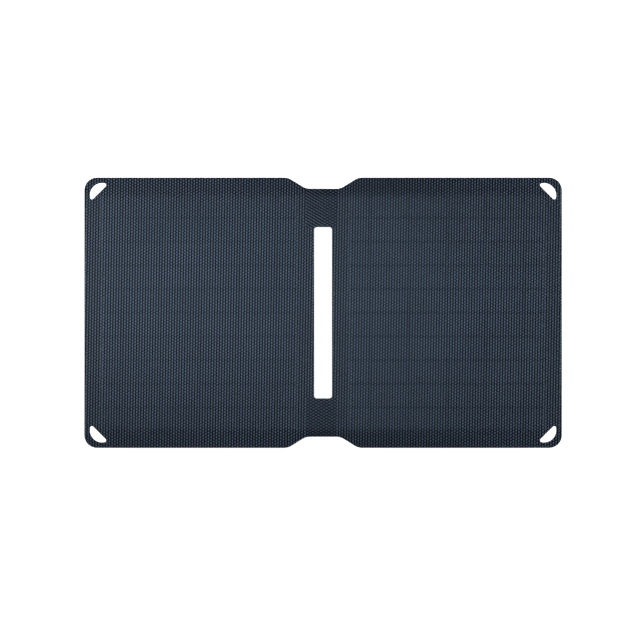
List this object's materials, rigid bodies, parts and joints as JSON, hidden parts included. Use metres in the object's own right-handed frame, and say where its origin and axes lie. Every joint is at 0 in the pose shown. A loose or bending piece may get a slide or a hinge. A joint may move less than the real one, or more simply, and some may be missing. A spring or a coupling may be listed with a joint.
{
  "type": "folding solar charger",
  "caption": "Flat two-leaf folding solar charger with a textured film face, slotted fold band, half-moon corner holes and a rear USB controller.",
  "frame": {"origin": "under the middle of the open panel, level with the controller's underside", "axes": "+X along the panel's long side, +Y up the leaves, +Z out of the cell face"},
  "size_m": [0.385, 0.218, 0.0162],
  "materials": {
    "textured_film": "embossed satin",
    "encapsulant": "dark, satin",
    "silicon_cell": "anti-reflective",
    "tinned_copper": "satin",
    "glass_fibre_board": "matt",
    "woven_fabric": "coated weave",
    "moulded_housing": "fine spark texture",
    "soft_rubber": "matt",
    "plated_steel": "bright",
    "circuit_laminate": "satin",
    "component_black": "matt",
    "capacitor_can": "satin",
    "socket_insulator": "satin",
    "clear_lens": "clear"
  },
  "bodies": {
    "right_leaf": {"capacitor_1": "capacitor_can", "capacitor_2": "capacitor_can", "charge_chip": "component_black", "circuit_board": "circuit_laminate", "controller_base": "moulded_housing", "controller_cover": "moulded_housing", "controller_gasket": "soft_rubber", "cover_screw_1": "plated_steel", "cover_screw_2": "plated_steel", "cover_screw_3": "plated_steel", "cover_screw_4": "plated_steel", "diode": "component_black", "inductor": "component_black", "light_pipe": "clear_lens", "negative_lead": "tinned_copper", "port_flap_anchor": "soft_rubber", "positive_lead": "tinned_copper", "right_back_fabric": "woven_fabric", "right_backing_board": "glass_fibre_board", "right_bottom_jumper": "tinned_copper", "right_cell_01": "silicon_cell", "right_cell_02": "silicon_cell", "right_cell_03": "silicon_cell", "right_cell_04": "silicon_cell", "right_cell_05": "silicon_cell", "right_cell_06": "silicon_cell", "right_cell_07": "silicon_cell", "right_cell_08": "silicon_cell", "right_cell_09": "silicon_cell", "right_cell_10": "silicon_cell", "right_front_encapsulant": "encapsulant", "right_front_film": "textured_film", "right_rear_encapsulant": "encapsulant", "right_ribbons": "tinned_copper", "right_top_jumper": "tinned_copper", "status_led": "clear_lens", "usb_insulator": "socket_insulator", "usb_shell": "plated_steel"},
    "left_leaf": {"left_back_fabric": "woven_fabric", "left_backing_board": "glass_fibre_board", "left_bottom_jumper": "tinned_copper", "left_cell_01": "silicon_cell", "left_cell_02": "silicon_cell", "left_cell_03": "silicon_cell", "left_cell_04": "silicon_cell", "left_cell_05": "silicon_cell", "left_cell_06": "silicon_cell", "left_cell_07": "silicon_cell", "left_cell_08": "silicon_cell", "left_cell_09": "silicon_cell", "left_cell_10": "silicon_cell", "left_front_encapsulant": "encapsulant", "left_front_film": "textured_film", "left_rear_encapsulant": "encapsulant", "left_ribbons": "tinned_copper", "left_top_jumper": "tinned_copper"},
    "port_flap": {"port_flap": "soft_rubber"}
  },
  "joints": [
    {"name": "fold_hinge", "type": "hinge", "parent": "right_leaf", "child": "left_leaf", "pos_m": [0, 0, 0.01667], "axis": [0, 1, 0], "range_deg": [0, 180]},
    {"name": "port_flap_hinge", "type": "hinge", "parent": "right_leaf", "child": "port_flap", "pos_m": [0.048, -0.0249, 0.00495], "axis": [0, 0, -1], "range_deg": [0, 120]}
  ]
}
